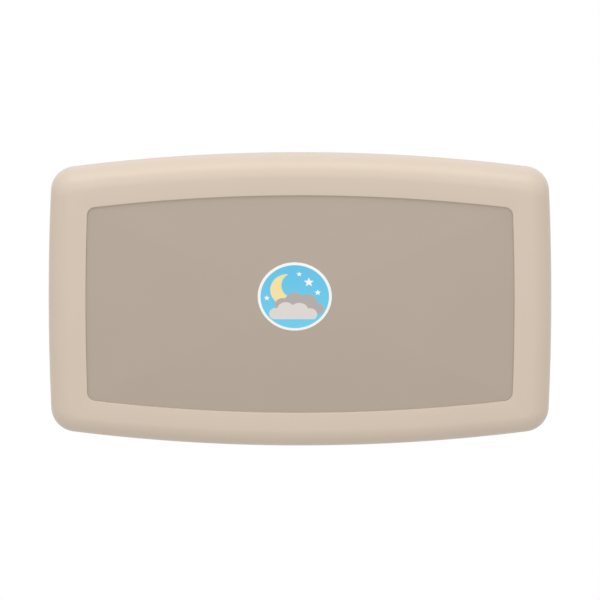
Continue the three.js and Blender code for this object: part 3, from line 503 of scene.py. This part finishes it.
def basin_profile(offset):
    """Basin profile from floor to rim: a quarter circle, a drafted wall and a small round, each offset."""
    floor_inset = BASIN_INSET + BASIN_DRAFT + BASIN_FILLET
    fillet_y = BASIN_FLOOR_Y + BASIN_FILLET
    radius = BASIN_FILLET + offset
    floor = quarter_round(floor_inset, fillet_y, -radius, -radius, QUARTER, 0, FILLET_STEPS)
    rim_radius = BASIN_RIM_ROUND - offset
    rim_inset = BASIN_INSET - BASIN_RIM_ROUND
    rim_y = TRAY_RIM_Y - BASIN_RIM_ROUND
    rim = quarter_round(rim_inset, rim_y, rim_radius, rim_radius, 0, QUARTER, EDGE_STEPS)
    return np.concatenate([floor, rim])


def bed_tray():
    """Bed tray: a basin with a flat rim, as an upper skin and one below it by the thickness."""
    edge = SHELL_WALL + TRAY_GAP
    profile = np.concatenate([
        basin_profile(0.0),
        [[edge, TRAY_RIM_Y], [edge, TRAY_RIM_Y - TRAY_THICKNESS]],
        basin_profile(TRAY_THICKNESS)[::-1],
    ])
    inset, y = profile.T
    corner = np.where(inset > 2 * edge, BASIN_CORNER + BASIN_INSET - inset, CORNER - inset)
    piece = closed_rows("bed_tray_skin", ring_rows(bowed_rings(inset, corner), y))
    rim_low = TRAY_RIM_Y - TRAY_THICKNESS - OVERSHOOT
    rim_high = TRAY_RIM_Y + OVERSHOOT
    cut_boxes(piece, [
        ((-HINGE_CUT_HALF, rim_low, -BED_HEIGHT), (HINGE_CUT_HALF, rim_high, HINGE_CUT_TOP)),
        ((DAMPER_SLOT_LOW, BASIN_FLOOR_Y, -BED_HEIGHT), (DAMPER_SLOT_HIGH, rim_high, TRAY_SLOT_TOP)),
    ])
    smooth_by_angle(piece)
    dress(piece, "bed_inner_tray")


def front_panel():
    """Front panel: a plate of the recess's outline with a rounded front edge."""
    wall_slope = RECESS_DRAFT / (RECESS_FLOOR_Y - FRONT_Y - RECESS_LIP)
    front_inset = PANEL_INSET + PANEL_GAP + wall_slope * (PANEL_FRONT_Y + PANEL_ROUND - FRONT_Y - RECESS_LIP)
    edge = front_edge(front_inset, PANEL_FRONT_Y, PANEL_ROUND)
    profile = np.concatenate([[[PANEL_INSET + PANEL_GAP + RECESS_DRAFT, RECESS_FLOOR_Y]], edge])
    rings = bowed_rings(profile[:, 0], PANEL_CORNER + PANEL_INSET - profile[:, 0])
    piece = closed_rows("front_panel_skin", ring_rows(rings, profile[:, 1]))
    smooth_by_angle(piece)
    dress(piece, "front_panel")


# Label: an oval film with a white edge, a sky, a crescent, stars and two clouds
LABEL_RING = 0.92
LABEL_ROWS = 150
LABEL_AROUND = 320
LABEL_FIRST_ROW = 0.004
LABEL_UNDER_ROW = 0.5
LABEL_EDGE_WIDTH = 0.012
LABEL_EDGE_ROUND = 0.7
SKY_HIGH = srgb(86, 192, 231)
SKY_LOW = srgb(104, 206, 238)
WHITE_INK = srgb(248, 248, 246)
MOON_INK = srgb(247, 226, 160)
MOON_PLACE = (-0.2, 0.2)
MOON_RADIUS = 0.46
MOON_BITE_PLACE = (0.02, 0.33)
MOON_BITE_RADIUS = 0.38
STAR_PLACES = ((0.38, 0.42, 0.14), (0.62, 0.12, 0.09), (0.12, 0.66, 0.08), (-0.75, -0.04, 0.08))
STAR_INNER = 0.45
FAR_CLOUD_INK = srgb(176, 169, 165)
NEAR_CLOUD_INK = srgb(222, 216, 210)
FAR_CLOUD_PUFFS = ((-0.32, -0.26, 0.22), (0.0, -0.16, 0.28), (0.36, -0.18, 0.25), (0.62, -0.36, 0.17))
FAR_CLOUD_BASE = -0.5
NEAR_CLOUD_PUFFS = ((-0.52, -0.5, 0.17), (-0.24, -0.4, 0.24), (0.12, -0.44, 0.26), (0.42, -0.52, 0.18))
NEAR_CLOUD_BASE = -0.66


def inside_star(across, up, place_x, place_z, radius):
    """True inside a five-pointed star, whose edge runs straight from tip to notch in each tenth of a turn."""
    x = across - place_x
    z = up - place_z
    tenth = math.pi / 5
    turn = np.abs((np.arctan2(x, z) + tenth) % (2 * tenth) - tenth)
    tip = np.array([radius, 0.0])
    notch = STAR_INNER * radius * np.array([math.cos(tenth), math.sin(tenth)])
    edge = notch - tip
    reach = (tip[0] * edge[1] - tip[1] * edge[0]) / (np.cos(turn) * edge[1] - np.sin(turn) * edge[0])
    return np.hypot(x, z) < reach


def inside_cloud(across, up, puffs, base):
    """True inside a cloud: any of its round puffs, or the band under them, above its flat base."""
    in_puff = [np.hypot(across - x, up - z) < radius for x, z, radius in puffs]
    band_top = min(z for x, z, radius in puffs)
    in_band = (across > puffs[0][0]) & (across < puffs[-1][0]) & (up < band_top)
    return (np.any(in_puff, axis=0) | in_band) & (up > base)


def label_print(across, up):
    """Print colours at places from -1 to 1: sky by height, then moon, stars, clouds and white edge."""
    share = ((up + 1) / 2)[..., None]
    color = np.array(SKY_LOW) * (1 - share) + np.array(SKY_HIGH) * share
    in_moon = np.hypot(across - MOON_PLACE[0], up - MOON_PLACE[1]) < MOON_RADIUS
    in_bite = np.hypot(across - MOON_BITE_PLACE[0], up - MOON_BITE_PLACE[1]) < MOON_BITE_RADIUS
    color = np.where((in_moon & ~in_bite)[..., None], MOON_INK, color)
    for x, z, radius in STAR_PLACES:
        color = np.where(inside_star(across, up, x, z, radius)[..., None], WHITE_INK, color)
    for puffs, base, ink in (
        (FAR_CLOUD_PUFFS, FAR_CLOUD_BASE, FAR_CLOUD_INK),
        (NEAR_CLOUD_PUFFS, NEAR_CLOUD_BASE, NEAR_CLOUD_INK),
    ):
        in_cloud = inside_cloud(across, up, puffs, base)
        color = np.where(in_cloud[..., None], ink, color)
    return np.where((np.hypot(across, up) > LABEL_RING)[..., None], WHITE_INK, color)


def front_label():
    """Label: an oval in polar rows, flat on top and rounded over its edge down to the panel."""
    half = (label_high - label_low) / 2
    centre = (label_high + label_low) / 2
    thickness = label_high[1] - label_low[1]
    share = np.concatenate([np.linspace(LABEL_FIRST_ROW, 1, LABEL_ROWS), [1.0, LABEL_UNDER_ROW]])
    edge = np.clip((1 - share[:LABEL_ROWS]) / LABEL_EDGE_WIDTH, 0, 1)
    drop = LABEL_EDGE_ROUND * (1 - np.sqrt(1 - (1 - edge) ** 2))
    lift = np.concatenate([thickness * (1 - drop), [0.0, 0.0]])
    angle = np.arange(LABEL_AROUND) * 2 * math.pi / LABEL_AROUND
    across = share[:, None] * np.cos(angle)
    up = share[:, None] * np.sin(angle)
    rows = np.stack([
        centre[0] + half[0] * across,
        np.broadcast_to(label_high[1] - lift[:, None], across.shape),
        centre[2] + half[2] * up,
    ], axis=-1)
    piece = closed_rows("front_label_print", rows)
    print_color = np.concatenate([label_print(across, up).reshape(-1, 4), [SKY_HIGH, WHITE_INK]])
    layer = piece.data.color_attributes.new("print", "FLOAT_COLOR", "POINT")
    layer.data.foreach_set("color", print_color.astype(np.float32).ravel())
    smooth_by_angle(piece)
    dress(piece, "front_label")


# Chassis
def chassis_rings(inset):
    """Outlines of the chassis: the bed's outline moved in, with its lower edge cut straight for the hinge."""
    inset = np.asarray(inset, float)
    rings = bowed_rings(CHASSIS_INSET + inset, CORNER - CHASSIS_INSET - inset)
    floor = (CHASSIS_BOTTOM_Z + inset)[:, None]
    rings[..., 1] = np.maximum(rings[..., 1], floor)
    return rings


def chassis_shell():
    """Chassis tray: inner floor, inner wall, a rounded front edge, outer wall and a rounded back edge."""
    front = front_edge(0.0, CHASSIS_FRONT_Y, CHASSIS_ROUND)[::-1]
    back = quarter_round(CHASSIS_ROUND, -CHASSIS_ROUND, -CHASSIS_ROUND, CHASSIS_ROUND, 0, QUARTER, EDGE_STEPS)
    profile = np.concatenate([
        [[CHASSIS_WALL, -CHASSIS_WALL], [CHASSIS_WALL, CHASSIS_FRONT_Y]],
        front,
        back,
    ])
    piece = closed_rows("chassis_shell_skin", ring_rows(chassis_rings(profile[:, 0]), profile[:, 1]))
    cut_boxes(piece, [(
        (DAMPER_SLOT_LOW, CHASSIS_FRONT_Y - OVERSHOOT, CHASSIS_BOTTOM_Z - OVERSHOOT),
        (DAMPER_SLOT_HIGH, face_high[1], CHASSIS_BOTTOM_Z + CHASSIS_WALL + OVERSHOOT),
    )])
    cut_holes(piece, BOLT_PLACES, BOLT_HOLE, -CHASSIS_WALL - OVERSHOOT, OVERSHOOT)
    smooth_by_angle(piece)
    dress(piece, "chassis_shell")


def chassis_face():
    """Chassis face: a plate inside the chassis's wall, with a bin window and a damper slot."""
    inset = CHASSIS_WALL + FACE_GAP
    edge = front_edge(inset, face_low[1], FACE_ROUND)
    profile = np.concatenate([[[inset, face_high[1]]], edge])
    piece = closed_rows("chassis_face_skin", ring_rows(chassis_rings(profile[:, 0]), profile[:, 1]))
    bin_low, bin_high = corners("liner_pocket")
    before = face_low[1] - OVERSHOOT
    behind = face_high[1] + OVERSHOOT
    flange = BIN_FLANGE + BIN_WALL
    cut_boxes(piece, [
        (
            (bin_low[0] + flange, before, bin_low[2] + flange),
            (bin_high[0] - flange, behind, bin_high[2] - flange),
        ),
        ((DAMPER_SLOT_LOW, before, -BED_HEIGHT), (DAMPER_SLOT_HIGH, behind, FACE_SLOT_TOP)),
    ])
    cut_holes(piece, BOLT_PLACES, BOLT_ACCESS, before, behind)
    smooth_by_angle(piece)
    dress(piece, "chassis_face")


# Safety strap
STRAP_THICKNESS = 1.8 * MM
STRAP_ROUND = 0.8 * MM
STRAP_WAVE = 0.5 * MM
STRAP_WAVE_COUNT = 3
STRAP_STEPS = 160
STRAP_ARC_STEPS = 9
BUCKLE_LIFT = 2.3 * MM
CLIMB_START = 7.8 * MM
CLIMB_END = 2.6 * MM


def webbing_strap(name, node, climb=None):
    """Strap: a flat section with round edges carried along z, lifted by a smooth step where it climbs.

    Small waves that die out at both ends keep it from lying dead flat.
    """
    low, high = corners(node)
    along = np.linspace(low[2], high[2], STRAP_STEPS)
    step = np.zeros(STRAP_STEPS)
    if climb is not None:
        step = np.clip((along - climb[0]) / (climb[1] - climb[0]), 0, 1)
    lift = BUCKLE_LIFT * step * step * (3 - 2 * step)
    share = (along - low[2]) / (high[2] - low[2])
    ripple = (1 - np.cos(share * STRAP_WAVE_COUNT * 2 * math.pi)) / 2
    wave = STRAP_WAVE * np.sin(share * math.pi) ** 2 * ripple
    half_width = (high[0] - low[0]) / 2 - STRAP_ROUND
    half_thickness = STRAP_THICKNESS / 2
    angle = np.concatenate([
        np.linspace(-QUARTER, QUARTER, STRAP_ARC_STEPS),
        np.linspace(QUARTER, 3 * QUARTER, STRAP_ARC_STEPS),
    ])
    side = np.repeat([half_width, -half_width], STRAP_ARC_STEPS)
    section_x = side + STRAP_ROUND * np.cos(angle)
    section_y = half_thickness * np.sin(angle)
    middle = low[1] + half_thickness + lift + wave
    rows = np.stack([
        np.broadcast_to(section_x, (STRAP_STEPS, len(angle))),
        middle[:, None] + section_y,
        np.broadcast_to(along[:, None], (STRAP_STEPS, len(angle))),
    ], axis=-1)
    piece = closed_rows(name, rows)
    smooth_by_angle(piece, HARD_WEBBING_EDGE)
    dress(piece, node)


# Liner door, bumpers and bolt caps
DOOR_THICKNESS = 2.5 * MM
DOOR_CORNER = 4 * MM
DOOR_ROUND = 0.9 * MM
DOOR_SLOT_WIDTH = 150 * MM
DOOR_SLOT_HEIGHT = 16 * MM
DOOR_SLOT_RISE = 30 * MM
GRIP_WIDTH = 90 * MM
GRIP_HEIGHT = 6 * MM
GRIP_DROP = 14 * MM
GRIP_ROUND = 1.5 * MM
GRIP_SINK = 0.5 * MM
BUMPER_ROUND = 3 * MM
CAP_THICKNESS = 2 * MM
CAP_ROUND = 0.9 * MM
CAP_GAP = 0.4 * MM
TURN_STEPS = 48
LEAST_PLATE_CORNER = LEAST_CORNER / 4


def rounded_rings(low, high, inset, corner):
    """Outlines of a rectangle of (x, z) corners, one a row, each moved in by an inset, with round corners."""
    inset = np.asarray(inset, float)
    radius = np.maximum(corner - inset, LEAST_PLATE_CORNER)
    right = high[0] - inset - radius
    left = low[0] + inset + radius
    top = high[2] - inset - radius
    bottom = low[2] + inset + radius
    turns = ((right, bottom, -1), (right, top, 0), (left, top, 1), (left, bottom, 2))
    zero = np.zeros_like(inset)
    return np.concatenate([
        arc_rows(x, z, radius, zero + turn * QUARTER, zero + (turn + 1) * QUARTER, CORNER_STEPS)
        for x, z, turn in turns
    ], axis=1)


def rounded_plate(name, low, high, corner, edge):
    """Plate between two corners: its outline's corners are round, and so is its front edge."""
    profile = np.concatenate([[[0.0, high[1]]], front_edge(0.0, low[1], edge)])
    return closed_rows(name, ring_rows(rounded_rings(low, high, profile[:, 0], corner), profile[:, 1]))


def liner_door():
    """Liner door: a rounded plate with a slot for the liner, and a rounded grip bar set into it."""
    low, high = corners("liner_door")
    plate_low = np.array([low[0], high[1] - DOOR_THICKNESS, low[2]])
    door = rounded_plate("liner_door_plate", plate_low, high, DOOR_CORNER, DOOR_ROUND)
    slot_z = low[2] + DOOR_SLOT_RISE
    cut_boxes(door, [(
        (-DOOR_SLOT_WIDTH / 2, low[1] - OVERSHOOT, slot_z),
        (DOOR_SLOT_WIDTH / 2, high[1] + OVERSHOOT, slot_z + DOOR_SLOT_HEIGHT),
    )])
    smooth_by_angle(door)
    dress(door, "liner_door")
    grip_top = high[2] - GRIP_DROP
    grip = rounded_plate(
        "liner_door_grip",
        np.array([-GRIP_WIDTH / 2, low[1], grip_top - GRIP_HEIGHT]),
        np.array([GRIP_WIDTH / 2, plate_low[1] + GRIP_SINK, grip_top]),
        GRIP_HEIGHT / 2,
        GRIP_ROUND,
    )
    smooth_by_angle(grip)
    dress(grip, "liner_door")


def turned_fitting(node, profile):
    """A round fitting along Y about its node's middle, from (radius, y) points of its profile."""
    low, high = corners(node)
    middle = (low + high) / 2
    angle = np.arange(TURN_STEPS) * 2 * math.pi / TURN_STEPS
    circle = np.stack([np.cos(angle), np.sin(angle)], axis=1)
    rings = profile[:, :1, None] * circle + middle[[0, 2]]
    piece = closed_rows(f"{node}_turned", ring_rows(rings, profile[:, 1]))
    smooth_by_angle(piece)
    dress(piece, node)


def bumper(node):
    """Bumper: a rubber button with a round front edge."""
    low, high = corners(node)
    radius = (high[0] - low[0]) / 2
    flat = radius - BUMPER_ROUND
    front = quarter_round(flat, low[1] + BUMPER_ROUND, BUMPER_ROUND, -BUMPER_ROUND, 0, QUARTER, EDGE_STEPS)
    turned_fitting(node, np.concatenate([[[radius, high[1]]], front]))


def bolt_cap(node):
    """Bolt cap: a thin flange with a round front edge, and a plug that fits the access hole."""
    low, high = corners(node)
    radius = (high[0] - low[0]) / 2
    seat = low[1] + CAP_THICKNESS
    plug = BOLT_ACCESS - CAP_GAP
    flat = radius - CAP_ROUND
    front = quarter_round(flat, low[1] + CAP_ROUND, CAP_ROUND, -CAP_ROUND, 0, QUARTER, EDGE_STEPS)
    turned_fitting(node, np.concatenate([[[plug, high[1]], [plug, seat], [radius, seat]], front]))


# Fittings that keep their node's shape, with softened edges
WELD_DISTANCE = 0.002 * MM
FLAT_ANGLE = math.radians(1)
BEVEL_ANGLE = math.radians(34)
BEVEL_SEGMENTS = 3


def softened(node, radius):
    """A copy of a node with its triangles joined into faces and its sharp edges rounded by a bevel."""
    source = frame["nodes"][node]
    shape = bmesh.new()
    shape.from_mesh(source.data)
    shape.transform(source.matrix_world)
    bmesh.ops.remove_doubles(shape, verts=shape.verts, dist=WELD_DISTANCE)
    bmesh.ops.dissolve_limit(shape, angle_limit=FLAT_ANGLE, verts=shape.verts, edges=shape.edges)
    mesh = bpy.data.meshes.new(f"{node}_soft")
    shape.to_mesh(mesh)
    shape.free()
    piece = bpy.data.objects.new(f"{node}_soft", mesh)
    bpy.context.scene.collection.objects.link(piece)
    smooth_by_angle(piece)
    bevel = piece.modifiers.new("soft edges", "BEVEL")
    bevel.limit_method = "ANGLE"
    bevel.angle_limit = BEVEL_ANGLE
    bevel.width = radius
    bevel.segments = BEVEL_SEGMENTS
    bevel.harden_normals = True
    dress(piece, node)


SOFT_EDGES = {
    "bag_hook": 2.4 * MM,
    "liner_rail": 0.7 * MM,
    "liner_pocket": 0.6 * MM,
    "buckle_frame": 0.7 * MM,
    "buckle_lever": 0.7 * MM,
    "strap_anchor": 0.5 * MM,
    "mounting_plate": 0.4 * MM,
    "damper": 0.25 * MM,
    "hinge": 0.2 * MM,
    "face_screw": 0.2 * MM,
    "tray_screw": 0.2 * MM,
    "buckle_pin": 0.2 * MM,
}

bed_shell()
bed_tray()
front_panel()
front_label()
chassis_shell()
chassis_face()
buckle_foot = corners("buckle_frame")[0][2]
webbing_strap("strap_long_web", "strap_long", (buckle_foot - CLIMB_START, buckle_foot - CLIMB_END))
webbing_strap("strap_short_web", "strap_short")
liner_door()
for node in sorted(frame["nodes"]):
    if node.startswith("bumper"):
        bumper(node)
    if node.startswith("bolt_cap"):
        bolt_cap(node)
    widths = [width for start, width in SOFT_EDGES.items() if node.startswith(start)]
    if widths:
        softened(node, widths[0])


# Camera: a long lens a little above the middle of the bed, with lens and sensor in millimetres
ELEVATION = math.radians(12.0)
LENS = 1500.0
SENSOR = 36.0
VIEW_WIDTH = 1067 * MM
AIM = Vector((0, -67 * MM, 0.5 * MM))
FAR_CLIP = 100.0


def studio_camera():
    """Camera on a line from the aim point, as far back as its lens needs to see the view's width."""
    lens = bpy.data.cameras.new("camera")
    lens.lens = LENS
    lens.sensor_width = SENSOR
    lens.clip_end = FAR_CLIP
    camera = bpy.data.objects.new("camera", lens)
    away = Vector((0, -math.cos(ELEVATION), math.sin(ELEVATION)))
    camera.location = AIM + away * (VIEW_WIDTH * LENS / SENSOR)
    camera.rotation_euler = (-away).to_track_quat("-Z", "Y").to_euler()
    bpy.context.scene.collection.objects.link(camera)
    bpy.context.scene.camera = camera


# Light, floor and background
FLOOR_Z = -0.95
FLOOR_HALF = 30.0
FLOOR_GREY = (0.6, 0.6, 0.6, 1)
FLOOR_ROUGHNESS = 0.9
AMBIENT = 0.86
# Place, width, height and power of each soft box
SOFT_BOXES = {
    "overhead_box": ((0.0, -0.9, 2.4), 3.0, 1.6, 20.0),
    "front_box": ((0.0, -4.0, 0.6), 4.0, 3.0, 23.5),
    "left_box": ((-3.0, -1.4, 0.4), 2.0, 2.0, 3.0),
}


def soft_box(name, place, width, height, power):
    """Rectangular soft light aimed at the object."""
    lamp = bpy.data.lights.new(name, "AREA")
    lamp.shape = "RECTANGLE"
    lamp.size = width
    lamp.size_y = height
    lamp.energy = power
    light = bpy.data.objects.new(name, lamp)
    light.location = place
    light.rotation_euler = (AIM - Vector(place)).to_track_quat("-Z", "Y").to_euler()
    bpy.context.scene.collection.objects.link(light)


def seen_directly(nodes, links):
    """1 on camera, glossy and transmission rays, and 0 on the rest."""
    path = nodes.new("ShaderNodeLightPath")
    seen = path.outputs["Is Camera Ray"]
    for ray in ("Is Glossy Ray", "Is Transmission Ray"):
        larger = nodes.new("ShaderNodeMath")
        larger.operation = "MAXIMUM"
        links.new(seen, larger.inputs[0])
        links.new(path.outputs[ray], larger.inputs[1])
        seen = larger.outputs[0]
    return seen


def white_world():
    """World that is white where it is seen and lights softly otherwise."""
    world = bpy.data.worlds.new("studio")
    world.use_nodes = True
    bpy.context.scene.world = world
    nodes = world.node_tree.nodes
    links = world.node_tree.links
    background = nodes["Background"]
    background.inputs["Color"].default_value = (1, 1, 1, 1)
    level = nodes.new("ShaderNodeMapRange")
    level.inputs["To Min"].default_value = AMBIENT
    level.inputs["To Max"].default_value = 1.0
    links.new(seen_directly(nodes, links), level.inputs["Value"])
    links.new(level.outputs["Result"], background.inputs["Strength"])


def pale_floor():
    """Pale floor far below the part, white where it is seen."""
    points = np.array([[x, y, FLOOR_Z] for x, y in ((-1, -1), (1, -1), (1, 1), (-1, 1))])
    points[:, :2] *= FLOOR_HALF
    mesh = bpy.data.meshes.new("floor")
    mesh.from_pydata(points.tolist(), [], [(0, 1, 2, 3)])
    floor = bpy.data.objects.new("floor", mesh)
    bpy.context.scene.collection.objects.link(floor)
    finish = Finish("pale_floor", FLOOR_GREY, FLOOR_ROUGHNESS)
    finish.tone(finish.noise(scale=2.0), dark=0.98, light=1.02)
    glow = finish.nodes.new("ShaderNodeEmission")
    mix = finish.nodes.new("ShaderNodeMixShader")
    finish.links.new(seen_directly(finish.nodes, finish.links), mix.inputs["Fac"])
    finish.links.new(finish.shader.outputs["BSDF"], mix.inputs[1])
    finish.links.new(glow.outputs["Emission"], mix.inputs[2])
    finish.links.new(mix.outputs["Shader"], finish.nodes["Material Output"].inputs["Surface"])
    floor.data.materials.append(finish.material)


studio_camera()
for name, (place, width, height, power) in SOFT_BOXES.items():
    soft_box(name, place, width, height, power)
white_world()
pale_floor()
bpy.context.scene.view_settings.view_transform = "Standard"
